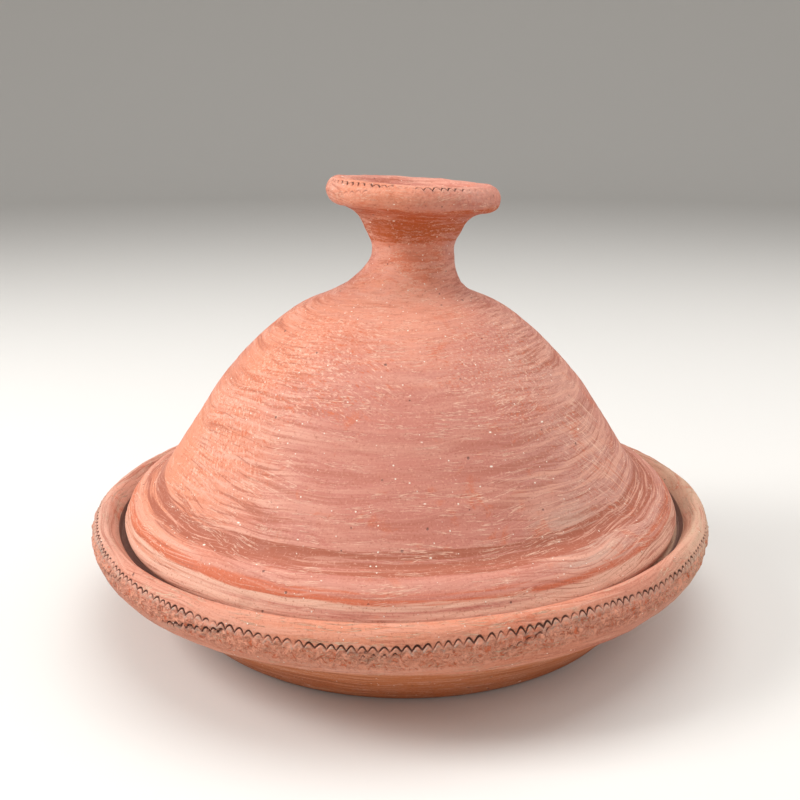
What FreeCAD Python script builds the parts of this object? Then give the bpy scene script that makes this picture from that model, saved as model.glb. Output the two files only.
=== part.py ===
"""Covered casserole dish of unglazed clay: a shallow dish with a rolled rim, and a tall domed lid.

Millimetres, +Z up. The origin is the centre of the dish's foot, on the surface that the dish stands on.
The dish is a bowl with a thick rim coil luted on its edge. The lid is a domed shell with a knob luted on
its crown, and its edge rests on the ledge inside the rim.
"""

import FreeCAD, Part
import Sketcher
import math
import os

SIZES = (
    # alias, millimetres, what it is
    ("rim_radius", 150.0, "widest radius of the rim, which is the widest of the whole dish"),
    ("foot_radius", 108.5, "flat foot that the dish stands on"),
    ("foot_round", 2.0, "rounding of the foot's edge"),
    ("bowl_height", 34.0, "height of the bowl's wall, where the rim coil is luted on"),
    ("bowl_hollow", 1.2, "how far the flared wall curves in from a straight line"),
    ("floor_thickness", 9.0, "clay under the cooking space"),
    ("floor_inset", 6.0, "how much smaller the flat inside is than the foot"),
    ("floor_round", 35.0, "rounding between the inside floor and the wall"),
    ("round_share", 0.9, "largest share of the inside wall that its rounding may take, as a plain number"),
    ("coil_height", 21.3, "height of the rim coil"),
    ("coil_under", 5.0, "how far the coil's underside is inside its widest line"),
    ("belly_rise", 12.0, "height of the coil's widest line over its underside"),
    ("crest_inset", 6.5, "how far the coil's top is inside its widest line"),
    ("crest_round", 3.5, "rounding of the coil's top"),
    ("rim_width", 13.0, "from the rim's widest line to the foot of its inner slope"),
    ("ledge_rise", 11.0, "height of the lid's ledge over the coil's underside"),
    ("ledge_width", 9.0, "width of the ledge that carries the lid"),
    ("ledge_round", 2.0, "rounding of the ledge's inner edge"),
    ("lid_clearance", 1.5, "gap all round between the lid's edge and the rim's inner slope"),
    ("edge_rise", 5.0, "height of the lid's widest line over its seat"),
    ("edge_under", 1.0, "how far the lid's underside is inside its widest line"),
    ("edge_round", 3.0, "rounding of the lid's edge"),
    ("band_inset", 8.0, "how far the top of the lid's band is inside the edge"),
    ("band_rise", 17.5, "height of the top of the band over the seat"),
    ("band_round", 8.0, "rounding of the top of the band"),
    ("groove_inset", 18.5, "how far the thrown groove is inside the edge"),
    ("groove_rise", 21.5, "height of the groove over the seat"),
    ("groove_round", 10.0, "rounding in the groove"),
    ("shoulder_radius", 88.0, "where the straight flank turns into the rounded shoulder"),
    ("shoulder_rise", 65.0, "height of the shoulder over the seat"),
    ("shoulder_swell", 4.6, "how far the rounded shoulder bulges from a straight line"),
    ("crown_rise", 113.0, "height of the crown, where the knob is luted on, over the seat"),
    ("crown_radius", 28.5, "outside radius of the crown and of the knob's foot"),
    ("lid_wall", 9.0, "thickness of the lid's flank"),
    ("neck_bore", 14.0, "radius of the hollow that runs from the lid up into the neck"),
    ("crown_lip", 3.7, "straight height of that hollow in the crown"),
    ("knob_height", 46.5, "height of the knob over the crown"),
    ("bore_depth", 18.0, "how far the hollow runs up into the neck"),
    ("bore_end", 8.0, "radius of the hollow's closed end"),
    ("neck_hollow", 12.7, "how far the neck's waist curves in"),
    ("lip_radius", 36.0, "radius of the underside and the top of the knob's lip"),
    ("lip_thickness", 11.5, "thickness of the knob's lip"),
    ("lip_swell", 4.5, "how far the lip bulges outwards"),
    ("lip_width", 7.0, "width of the lip's top"),
    ("lip_round", 3.0, "rounding of the lip's inner edge"),
    ("cup_radius", 13.0, "radius of the cup's floor in the knob"),
    ("cup_depth", 17.0, "depth of the cup in the knob"),
    ("cup_round", 8.0, "rounding between the cup's floor and its wall"),
)

EDGE_MATCH = 0.01

doc = FreeCAD.newDocument("covered_dish")


def fill_sheet():
    """Write every driving size into the spreadsheet and give its cell a name."""
    sheet = doc.addObject("Spreadsheet::Sheet", "sizes")
    for row, (alias, value, meaning) in enumerate(SIZES, start=1):
        sheet.set(f"A{row}", alias)
        sheet.set(f"B{row}", str(value))
        sheet.set(f"C{row}", meaning)
        sheet.setAlias(f"B{row}", alias)
    doc.recompute()
    return sheet


sizes = fill_sheet()


def size(expression):
    """Value of an expression of the spreadsheet's sizes."""
    return float(sizes.evalExpression(expression))


def swelling(run, rise, swell):
    """Radius, as an expression, of an arc over the chord (run, rise) that stands off it by swell."""
    return f"((({run})^2 + ({rise})^2) / (8 * {swell}) + {swell} / 2)"


def upright(run, rise):
    """Radius, as an expression, of an arc over the chord (run, rise) that is vertical at one end."""
    return f"((({run})^2 + ({rise})^2) / (2 * ({run})))"


def arc_between(start, end, radius, swells):
    """Arc of circle from start to end; it swells out of the profile or is hollowed into it."""
    run = end[0] - start[0]
    rise = end[1] - start[1]
    chord = math.hypot(run, rise)
    side = -1.0 if swells else 1.0
    reach = math.sqrt(radius**2 - chord**2 / 4) * side
    centre_r = (start[0] + end[0]) / 2 + reach * rise / chord
    centre_z = (start[1] + end[1]) / 2 - reach * run / chord
    first, last = (start, end) if swells else (end, start)
    first_angle = math.atan2(first[1] - centre_z, first[0] - centre_r)
    last_angle = math.atan2(last[1] - centre_z, last[0] - centre_r)
    circle = Part.Circle(FreeCAD.Vector(centre_r, centre_z, 0), FreeCAD.Vector(0, 0, 1), radius)
    return Part.ArcOfCircle(circle, first_angle, last_angle)


def origin_plane(body, role):
    """The body's own origin plane with the given role."""
    return next(item for item in body.Origin.OriginFeatures if item.Role == role)


def bind(sketch, name, constraint, expression):
    """Add a constraint to the sketch under a name, driven by an expression."""
    index = sketch.addConstraint(constraint)
    sketch.renameConstraint(index, name)
    sketch.setExpression(f"Constraints.{name}", expression)


def draw_profile(body, corners):
    """Half section in the body's XZ plane, run round from the bottom of the axis, outside first.

    Each corner is (name, radius, height, bend). Bend is None where a straight line leads on to the
    next corner, or (radius of the arc, whether it swells) where an arc does.
    """
    sketch = body.newObject("Sketcher::SketchObject", body.Name + "_profile")
    sketch.AttachmentSupport = [(origin_plane(body, "XZ_Plane"), "")]
    sketch.MapMode = "FlatFace"
    places = [(size(radius), size(height)) for _, radius, height, _ in corners]
    edges = []
    for index, (_, _, _, bend) in enumerate(corners):
        start = places[index]
        end = places[(index + 1) % len(corners)]
        if bend is None:
            line = Part.LineSegment(FreeCAD.Vector(*start, 0), FreeCAD.Vector(*end, 0))
            edges.append((sketch.addGeometry(line, False), 1, 2))
        else:
            arc = arc_between(start, end, size(bend[0]), bend[1])
            start_end, end_end = (1, 2) if bend[1] else (2, 1)
            edges.append((sketch.addGeometry(arc, False), start_end, end_end))
    for index, (name, radius, height, bend) in enumerate(corners):
        edge, start_end, _ = edges[index]
        before, _, before_end = edges[index - 1]
        sketch.addConstraint(Sketcher.Constraint("Coincident", before, before_end, edge, start_end))
        for axis, label, value, place in (("DistanceX", "r", radius, places[index][0]),
                                          ("DistanceY", "z", height, places[index][1])):
            if value == "0":
                origin_axis = -2 if axis == "DistanceX" else -1
                sketch.addConstraint(Sketcher.Constraint("PointOnObject", edge, start_end, origin_axis))
            else:
                distance = Sketcher.Constraint(axis, -1, 1, edge, start_end, place)
                bind(sketch, f"{name}_{label}", distance, value)
        if bend is not None:
            radius_of_arc = Sketcher.Constraint("Radius", edge, size(bend[0]))
            bind(sketch, f"{name}_arc", radius_of_arc, bend[0])
    return sketch


def turned_body(name, height, corners):
    """A body turned on the wheel from its profile, standing at the given height."""
    body = doc.addObject("PartDesign::Body", name)
    body.Label = name
    if height != "0":
        body.setExpression(".Placement.Base.z", height)
    sketch = draw_profile(body, corners)
    turning = body.newObject("PartDesign::Revolution", name + "_turning")
    turning.Profile = sketch
    turning.ReferenceAxis = (sketch, ["V_Axis"])
    turning.Angle = 360.0
    doc.recompute()
    return body


def round_edge(body, name, radius, height, rounding):
    """Round the circular edge of the body at the given radius and height above its own base."""
    base = body.Tip
    found = []
    for index, edge in enumerate(base.Shape.Edges, start=1):
        if not isinstance(edge.Curve, Part.Circle):
            continue
        off_radius = abs(edge.Curve.Radius - size(radius))
        off_height = abs(edge.Curve.Center.z - size(height))
        if off_radius < EDGE_MATCH and off_height < EDGE_MATCH:
            found.append(f"Edge{index}")
    if not found:
        raise RuntimeError(f"{body.Name} has no edge for {name}")
    fillet = body.newObject("PartDesign::Fillet", f"{body.Name}_{name}")
    fillet.Base = (base, found)
    fillet.setExpression("Radius", rounding)
    doc.recompute()


# ---- heights and radii that more than one piece uses ----

LEDGE_HEIGHT = "(sizes.bowl_height + sizes.ledge_rise)"
CROWN_HEIGHT = f"({LEDGE_HEIGHT} + sizes.crown_rise)"
WALL_TOP = "(sizes.rim_radius - sizes.coil_under)"
GALLERY = "(sizes.rim_radius - sizes.rim_width)"
LEDGE_INSIDE = f"({GALLERY} - sizes.ledge_width)"
LID_EDGE = f"({GALLERY} - sizes.lid_clearance)"
LID_BAND = f"({LID_EDGE} - sizes.band_inset)"
LID_GROOVE = f"({LID_EDGE} - sizes.groove_inset)"


def make_bowl():
    """The thrown bowl: flat foot, flared wall, and a flat top that takes the rim coil."""
    flare_run = f"{WALL_TOP} - sizes.foot_radius"
    flare = swelling(flare_run, "sizes.bowl_height", "sizes.bowl_hollow")
    floor_radius = "(sizes.foot_radius - sizes.floor_inset)"
    inside_run = f"({LEDGE_INSIDE} - {floor_radius})"
    inside_rise = "(sizes.bowl_height - sizes.floor_thickness)"
    inside_length = f"sqrt({inside_run}^2 + {inside_rise}^2)"
    largest_round = f"{inside_length} * {inside_rise} / ({inside_length} - {inside_run})"
    floor_round = f"min(sizes.floor_round; sizes.round_share * {largest_round})"
    body = turned_body("dish_bowl", "0", (
        ("foot_centre", "0", "0", None),
        ("foot_edge", "sizes.foot_radius", "0", (flare, False)),
        ("wall_top", WALL_TOP, "sizes.bowl_height", None),
        ("wall_inside", LEDGE_INSIDE, "sizes.bowl_height", None),
        ("floor_edge", floor_radius, "sizes.floor_thickness", None),
        ("floor_centre", "0", "sizes.floor_thickness", None),
    ))
    round_edge(body, "foot_rounding", "sizes.foot_radius", "0", "sizes.foot_round")
    round_edge(body, "floor_rounding", floor_radius, "sizes.floor_thickness", floor_round)
    return body


def make_rim_coil():
    """The rolled rim: it sits on the bowl's wall, bulges out, and holds the lid's ledge inside."""
    crest = "(sizes.rim_radius - sizes.crest_inset)"
    under_arc = upright("sizes.coil_under", "sizes.belly_rise")
    upper_arc = upright("sizes.crest_inset", "sizes.coil_height - sizes.belly_rise")
    body = turned_body("dish_rim_coil", "sizes.bowl_height", (
        ("under_inside", LEDGE_INSIDE, "0", None),
        ("under_outside", WALL_TOP, "0", (under_arc, True)),
        ("belly", "sizes.rim_radius", "sizes.belly_rise", (upper_arc, True)),
        ("crest", crest, "sizes.coil_height", None),
        ("gallery", GALLERY, "sizes.ledge_rise", None),
        ("ledge_edge", LEDGE_INSIDE, "sizes.ledge_rise", None),
    ))
    round_edge(body, "crest_rounding", crest, "sizes.coil_height", "sizes.crest_round")
    round_edge(body, "ledge_rounding", LEDGE_INSIDE, "sizes.ledge_rise", "sizes.ledge_round")
    return body


def make_lid_shell():
    """The lid's domed shell: a rounded edge and band, a thrown groove, a straight flank, a shoulder."""
    flank_run = f"({LID_GROOVE} - sizes.shoulder_radius)"
    flank_rise = "(sizes.shoulder_rise - sizes.groove_rise)"
    flank_length = f"sqrt({flank_run}^2 + {flank_rise}^2)"
    inner_radius = f"(sizes.shoulder_radius - sizes.lid_wall * {flank_rise} / {flank_length})"
    inner_rise = f"(sizes.shoulder_rise - sizes.lid_wall * {flank_run} / {flank_length})"
    mouth_radius = f"({inner_radius} + {inner_rise} * {flank_run} / {flank_rise})"
    shoulder = swelling("sizes.shoulder_radius - sizes.crown_radius",
                        "sizes.crown_rise - sizes.shoulder_rise", "sizes.shoulder_swell")
    inner_shoulder = f"({shoulder} - sizes.lid_wall)"
    under_edge = f"({LID_EDGE} - sizes.edge_under)"
    body = turned_body("lid_shell", LEDGE_HEIGHT, (
        ("mouth", mouth_radius, "0", None),
        ("under_edge", under_edge, "0", None),
        ("edge", LID_EDGE, "sizes.edge_rise", None),
        ("band_top", LID_BAND, "sizes.band_rise", None),
        ("groove", LID_GROOVE, "sizes.groove_rise", None),
        ("shoulder", "sizes.shoulder_radius", "sizes.shoulder_rise", (shoulder, True)),
        ("crown_outside", "sizes.crown_radius", "sizes.crown_rise", None),
        ("crown_inside", "sizes.neck_bore", "sizes.crown_rise", None),
        ("bore_foot", "sizes.neck_bore", "sizes.crown_rise - sizes.crown_lip", (inner_shoulder, False)),
        ("inner_shoulder", inner_radius, inner_rise, None),
    ))
    round_edge(body, "under_rounding", under_edge, "0", "sizes.edge_round")
    round_edge(body, "edge_rounding", LID_EDGE, "sizes.edge_rise", "sizes.edge_round")
    round_edge(body, "band_rounding", LID_BAND, "sizes.band_rise", "sizes.band_round")
    round_edge(body, "groove_rounding", LID_GROOVE, "sizes.groove_rise", "sizes.groove_round")
    return body


def make_knob():
    """The knob: a waisted neck, hollow from below, that flares into a shallow cup with a thick lip."""
    lip_foot = "(sizes.knob_height - sizes.lip_thickness)"
    cup_floor = "(sizes.knob_height - sizes.cup_depth)"
    lip_inside = "(sizes.lip_radius - sizes.lip_width)"
    neck = swelling("sizes.lip_radius - sizes.crown_radius", lip_foot, "sizes.neck_hollow")
    lip = swelling("0", "sizes.lip_thickness", "sizes.lip_swell")
    body = turned_body("lid_knob", CROWN_HEIGHT, (
        ("foot_inside", "sizes.neck_bore", "0", None),
        ("foot_outside", "sizes.crown_radius", "0", (neck, False)),
        ("lip_under", "sizes.lip_radius", lip_foot, (lip, True)),
        ("lip_top", "sizes.lip_radius", "sizes.knob_height", None),
        ("lip_inside", lip_inside, "sizes.knob_height", None),
        ("cup_edge", "sizes.cup_radius", cup_floor, None),
        ("cup_centre", "0", cup_floor, None),
        ("bore_top", "0", "sizes.bore_depth", None),
        ("bore_edge", "sizes.bore_end", "sizes.bore_depth", None),
    ))
    round_edge(body, "lip_rounding", lip_inside, "sizes.knob_height", "sizes.lip_round")
    round_edge(body, "cup_rounding", "sizes.cup_radius", cup_floor, "sizes.cup_round")
    return body


def check_document(bodies):
    """Stop if any object failed, or if a piece isn't one sound solid of sensible volume."""
    for item in doc.Objects:
        if "Invalid" in item.State or "Error" in item.State:
            raise RuntimeError(f"{item.Name} failed: {item.State}")
    for body in bodies:
        shape = body.Shape
        if shape.isNull() or not shape.isValid() or len(shape.Solids) != 1 or shape.Volume <= 0:
            raise RuntimeError(f"{body.Label} isn't one sound solid")


def write_parts(bodies):
    """Write each piece to its own file, named by its label."""
    os.makedirs("parts", exist_ok=True)
    for body in bodies:
        body.Shape.exportStep(os.path.join("parts", body.Label + ".step"))
        box = body.Shape.optimalBoundingBox()
        print(f"{body.Label}: {body.Shape.Volume / 1000:.1f} cm3, z {box.ZMin:.1f} to {box.ZMax:.1f}")


pieces = [make_bowl(), make_rim_coil(), make_lid_shell(), make_knob()]
doc.recompute()
check_document(pieces)
write_parts(pieces)
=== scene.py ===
"""Terracotta tagine: a shallow dish with a luted, toothed rim, and a tall lid with a cup-shaped knob.

Every piece is turned from the outline of its design node and then worked over as wet clay is: throwing
ridges, smears where two members were luted together, a line stamped with a toothed tool, dents and pits.
"""

import itertools
import math

import bmesh
import bpy
import numpy as np
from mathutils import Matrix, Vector


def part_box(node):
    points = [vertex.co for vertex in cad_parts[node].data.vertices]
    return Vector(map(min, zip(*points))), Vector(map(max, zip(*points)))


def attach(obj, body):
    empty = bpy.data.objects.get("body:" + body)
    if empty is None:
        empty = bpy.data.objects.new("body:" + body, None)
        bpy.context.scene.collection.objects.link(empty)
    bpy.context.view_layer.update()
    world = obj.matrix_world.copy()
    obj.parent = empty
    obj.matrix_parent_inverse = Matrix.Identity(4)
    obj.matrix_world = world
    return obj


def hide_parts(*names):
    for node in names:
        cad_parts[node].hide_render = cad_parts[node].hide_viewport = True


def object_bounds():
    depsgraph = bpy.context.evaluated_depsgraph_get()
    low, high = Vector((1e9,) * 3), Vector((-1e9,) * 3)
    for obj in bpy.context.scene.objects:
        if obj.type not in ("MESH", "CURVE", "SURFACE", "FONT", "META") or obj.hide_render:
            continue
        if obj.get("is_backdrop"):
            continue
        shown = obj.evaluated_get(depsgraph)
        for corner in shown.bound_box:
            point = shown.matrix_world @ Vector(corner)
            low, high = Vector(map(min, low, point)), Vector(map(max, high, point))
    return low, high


bl_info = {
    "name": "Terracotta tagine",
    "version": (1, 0, 0),
    "blender": (4, 5, 0),
    "location": "View3D > Sidebar > Tagine",
    "description": "Makes the clay surface of a covered casserole dish around its design model",
    "category": "Object",
}

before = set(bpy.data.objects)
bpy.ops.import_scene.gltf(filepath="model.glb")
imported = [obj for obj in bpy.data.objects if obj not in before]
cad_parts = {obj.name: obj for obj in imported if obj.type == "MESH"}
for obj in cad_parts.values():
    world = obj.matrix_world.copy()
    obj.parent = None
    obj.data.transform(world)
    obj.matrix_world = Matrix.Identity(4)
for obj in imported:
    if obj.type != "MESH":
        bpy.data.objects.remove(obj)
DESIGN_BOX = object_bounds()
RIM_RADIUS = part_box("dish_rim_coil")[1][0]
LID_SEAT, LID_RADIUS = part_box("lid_shell")[0][2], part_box("lid_shell")[1][0]
LIP_RADIUS, LIP_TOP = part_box("lid_knob")[1][0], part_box("lid_knob")[1][2]
# Where two members were luted together: the seam's height, and which way the clay faces there.
DISH_SEAM, DISH_SEAM_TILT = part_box("dish_rim_coil")[0][2], math.radians(-49)
CROWN_SEAM, CROWN_SEAM_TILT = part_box("lid_knob")[0][2], math.radians(60)

MM = 0.001
FULL_TURN = 2 * math.pi

DISH_COLUMNS = 540  # columns of a ring on the dish, away from the stamped line
STAMP_FINENESS = 6  # times as many columns where the line is stamped
LID_COLUMNS = 720  # columns of a ring on the lid
BOWL_INSIDE = 17.1 * MM  # how far past its seam the bowl's outline turns inside
CORNER_TURN = math.radians(20)  # an outline that turns by more has a corner there
SHARP_EDGE = math.radians(55)
OVAL_TURN = math.radians(50)  # which way round the rim is widest
NEAR_AXIS = 1e-4  # closest that a colour is worked out to the axis, in metres
ZONE_EDGE = 1.2 * MM  # how softly a ring of other colour ends
GRAIN_SHARE = 0.6  # share of the places for a grain or pit that hold one
CLAY_SHEEN = 0.32
LAMP_AIM = Vector((0.0, 0.0, 0.08))
# Marks of a stamped piece: the line, which carries the painted shade of its groove; its grey residue; and the
# torn clay, which carries painted light on its ridges and painted shade in its hollows.
STAMP_MARKS = ("stamp", "residue", "torn")
PUSHED_UP = (-1.15 * MM, 0.75 * MM)  # middle and width of the clay pushed up under the stamped line

# Where the toothed line runs round the rim: (degrees round from +X, mm above the rim's widest line).
RIM_LINE = (
    (5, 3.0), (50, 3.5), (95, 3.5), (125, 4.5), (150, 3.5), (175, 5.0), (200, 6.5), (225, 4.5), (240, 3.0),
    (252, 1.5), (267, 1.0), (280, 3.0), (300, 5.0), (315, 3.5), (335, 4.0),
)
# Where the tool was set down again: (from, to in degrees, start and end in mm under the line, strength).
RIM_EXTRA_RUNS = (
    (211.0, 220.0, -6.5, -2.1, 0.75), (230.5, 243.5, -10.0, -2.1, 1.0), (263.0, 270.0, -4.2, -2.1, 0.55),
    (284.0, 292.0, -6.5, -2.0, 0.5), (28.0, 37.0, -7.0, -2.2, 0.8), (98.0, 108.0, -5.0, -2.1, 0.6),
    (148.0, 156.0, -6.0, -2.2, 0.9),
)
# The same round the knob's lip, in mm above the lip's widest line.
LIP_LINE = (
    (10, 5.6), (60, 6.0), (110, 5.4), (160, 5.8), (200, 5.4), (235, 6.2), (270, 6.3), (305, 6.0), (335, 5.6),
)
LIP_EXTRA_RUNS = ((212.0, 240.0, -6.4, -4.2, 0.35), (60.0, 85.0, -4.4, -2.6, 0.5))

# How the pieces fired, and one patch of painted shade under the lip: (colour, centre, reach, strength), in
# metres.
LID_PATCHES = (
    ("warm", (-0.120, -0.050, 0.080), 0.100, 0.9), ("warm", (-0.055, -0.035, 0.150), 0.055, 0.7),
    ("bright", (0.005, -0.040, 0.155), 0.045, 0.65), ("ash", (0.105, -0.070, 0.085), 0.070, 0.7),
    ("ash", (0.070, -0.040, 0.130), 0.045, 0.5), ("warm", (0.040, 0.120, 0.080), 0.080, 0.7),
    ("ash", (-0.080, 0.090, 0.070), 0.060, 0.5), ("ash", (0.034, -0.025, 0.199), 0.016, 0.4),
    ("beige", (0.080, -0.098, 0.062), 0.036, 0.8), ("beige", (-0.060, 0.110, 0.062), 0.036, 0.6),
    # The rust patch under the lip is painted shade.
    ("warm", (-0.015, -0.030, 0.198), 0.050, 0.8), ("rust", (0.006, -0.020, 0.180), 0.018, 0.6),
)
# Rings of other colour on the lid, three of them painted light and shade: (colour, low z, high z, strength,
# seed).
LID_ZONES = (
    # The deep ring is painted shade in the lid's groove, and the pale ring is painted light on the
    # upward-facing clay just under it.
    ("deep", 0.0636, 0.0690, 1.60, 21.0), ("pale", 0.0600, 0.0622, 0.30, 22.0),
    ("rust", 0.0558, 0.0590, 0.90, 23.0), ("chalk", 0.0470, 0.0552, 1.10, 24.0),
    # Painted shade under the knob's lip.
    ("under_lip_shade", 0.1790, 0.1935, 1.6, 25.0),
)
# The shaded clay where the lid's edge meets the ledge: height that the dark reaches, in metres.
GAP_TOP = 0.0469

# Strokes of the finishing tool that cross the thrown lines: (direction, centre, reach, strength, seed).
LID_HATCHES = (
    ((0.35, -0.45, -0.75), (-0.095, -0.065, 0.110), 0.050, 0.6, 31.0),
    ((0.75, -0.30, -0.50), (-0.040, -0.065, 0.140), 0.045, 0.55, 32.0),
    ((0.80, -0.10, 0.35), (0.050, -0.060, 0.140), 0.045, 0.55, 33.0),
    ((0.55, 0.35, -0.60), (0.100, -0.060, 0.095), 0.045, 0.5, 34.0),
    ((-0.50, 0.40, -0.60), (0.030, 0.110, 0.100), 0.060, 0.5, 35.0),
)
CALM_SPOT = (0.010, -0.100, 0.100)  # where the lid was wiped smoother, in metres
BOWL_PATCHES = (("warm", (0.0, -0.13, 0.02), 0.09, 0.7), ("warm", (-0.02, 0.13, 0.02), 0.10, 0.6))
RIM_PATCHES = (
    ("warm", (0.0, -0.15, 0.045), 0.110, 0.6), ("ash", (-0.150, -0.010, 0.050), 0.100, 0.8),
    ("chalk", (0.150, -0.020, 0.050), 0.110, 0.8), ("warm", (0.0, 0.15, 0.045), 0.100, 0.5),
)


# ---- noise and curves ----


def smooth_step(value, low, high):
    """0 below low, 1 above high, and an easy curve between them."""
    part = np.clip((value - low) / (high - low), 0.0, 1.0)
    return part * part * (3.0 - 2.0 * part)


def bell(value, middle, width):
    """1 at the middle, and falling away on both sides over about the width."""
    return np.exp(-(((value - middle) / width) ** 2))


def from_axis(place):
    """Distance of points from the axis that the clay is turned on."""
    return np.hypot(place[:, 0], place[:, 1])


def noise(points, seed):
    """Smooth value from -1 to 1 at each point of a unit lattice, the same for the same seed."""
    cell = np.floor(points).astype(np.int64)
    part = points - cell
    fade = part * part * (3.0 - 2.0 * part)
    total = np.zeros(points.shape[:-1])
    for corner in itertools.product((0, 1), repeat=3):
        node = cell + np.array(corner)
        code = node[..., 0] * 73856093 ^ node[..., 1] * 19349663 ^ node[..., 2] * 83492791
        code = (code ^ seed * 668265263) & 0xFFFFFFFF
        code = (code ^ code >> 15) * 2246822519 & 0xFFFFFFFF
        code = (code ^ code >> 13) * 3266489917 & 0xFFFFFFFF
        value = (code >> 8 & 0xFFFF) / 32767.5 - 1.0
        weight = np.prod(np.where(corner, fade, 1.0 - fade), axis=-1)
        total += value * weight
    return total


def lumps(place, size, seed, octaves=2):
    """Rounded unevenness of about the given size, from -1 to 1."""
    total = np.zeros(place.shape[:-1])
    for octave in range(octaves):
        total += noise(place / size * 2.0**octave, seed + octave) * 0.5**octave
    return total / (2.0 - 0.5 ** (octaves - 1))


def strokes(angle, along, turns, width, seed, octaves=2):
    """Unevenness drawn out round the axis: about so many features a turn, each of that width."""
    reach = turns / FULL_TURN
    ring = np.stack([np.cos(angle) * reach, np.sin(angle) * reach, along / width], axis=-1)
    return lumps(ring, 1.0, seed, octaves)


def smooth_curve(knots, values, where):
    """Cubic curve through the values at the knots, read at the given places."""
    step = np.diff(knots)
    slope = np.diff(values) / step
    tangent = np.empty(len(knots))
    tangent[1:-1] = (slope[:-1] * step[1:] + slope[1:] * step[:-1]) / (step[:-1] + step[1:])
    tangent[0] = slope[0]
    tangent[-1] = slope[-1]
    index = np.clip(np.searchsorted(knots, where) - 1, 0, len(knots) - 2)
    width = step[index]
    part = (where - knots[index]) / width
    ease = part * part * (3.0 - 2.0 * part)
    start_pull = part * (1.0 - part) ** 2 * width * tangent[index]
    end_pull = part * part * (part - 1.0) * width * tangent[index + 1]
    return values[index] * (1.0 - ease) + values[index + 1] * ease + start_pull + end_pull


def ring_curve(points, angle):
    """Cubic curve round the whole turn through (degrees, value) points, read at angles in radians."""
    degrees, values = (np.array(column, dtype=float) for column in zip(*points))
    knots = np.concatenate([degrees - 360.0, degrees, degrees + 360.0])
    return smooth_curve(knots, np.tile(values, 3), np.degrees(angle) % 360.0)


# ---- outlines of the design nodes ----


def section_chain(name):
    """Points of a design node's half section on the XZ plane, in order."""
    model = bmesh.new()
    model.from_mesh(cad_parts[name].data)
    bmesh.ops.remove_doubles(model, verts=model.verts, dist=1e-6)
    everything = model.verts[:] + model.edges[:] + model.faces[:]
    cut = bmesh.ops.bisect_plane(model, geom=everything, dist=1e-7, plane_co=(0, 0, 0), plane_no=(0, 1, 0))
    neighbours = {}
    for item in cut["geom_cut"]:
        if isinstance(item, bmesh.types.BMEdge) and item.verts[0].co.x + item.verts[1].co.x > 1e-6:
            first, second = item.verts
            neighbours.setdefault(first, []).append(second)
            neighbours.setdefault(second, []).append(first)
    ends = [vertex for vertex, beside in neighbours.items() if len(beside) == 1]
    if len(ends) not in (0, 2) or any(len(beside) > 2 for beside in neighbours.values()):
        raise RuntimeError(f"the section of {name} isn't one line")
    start = min(ends or neighbours, key=lambda vertex: (round(vertex.co.z, 6), vertex.co.x))
    chain = [start]
    before = None
    while True:
        onward = [vertex for vertex in neighbours[chain[-1]] if vertex is not before]
        if not onward or onward[0] is start:
            break
        before = chain[-1]
        chain.append(onward[0])
    places = np.array([(max(vertex.co.x, 0.0), vertex.co.z) for vertex in chain])
    model.free()
    if ends:
        places[0, 0] = 0.0
        places[-1, 0] = 0.0
    else:
        places = np.vstack([places, places[:1]])
    after = np.roll(places, -1, axis=0)
    area = np.sum(places[:, 0] * after[:, 1] - after[:, 0] * places[:, 1])
    return places if area > 0 else places[::-1]


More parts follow.
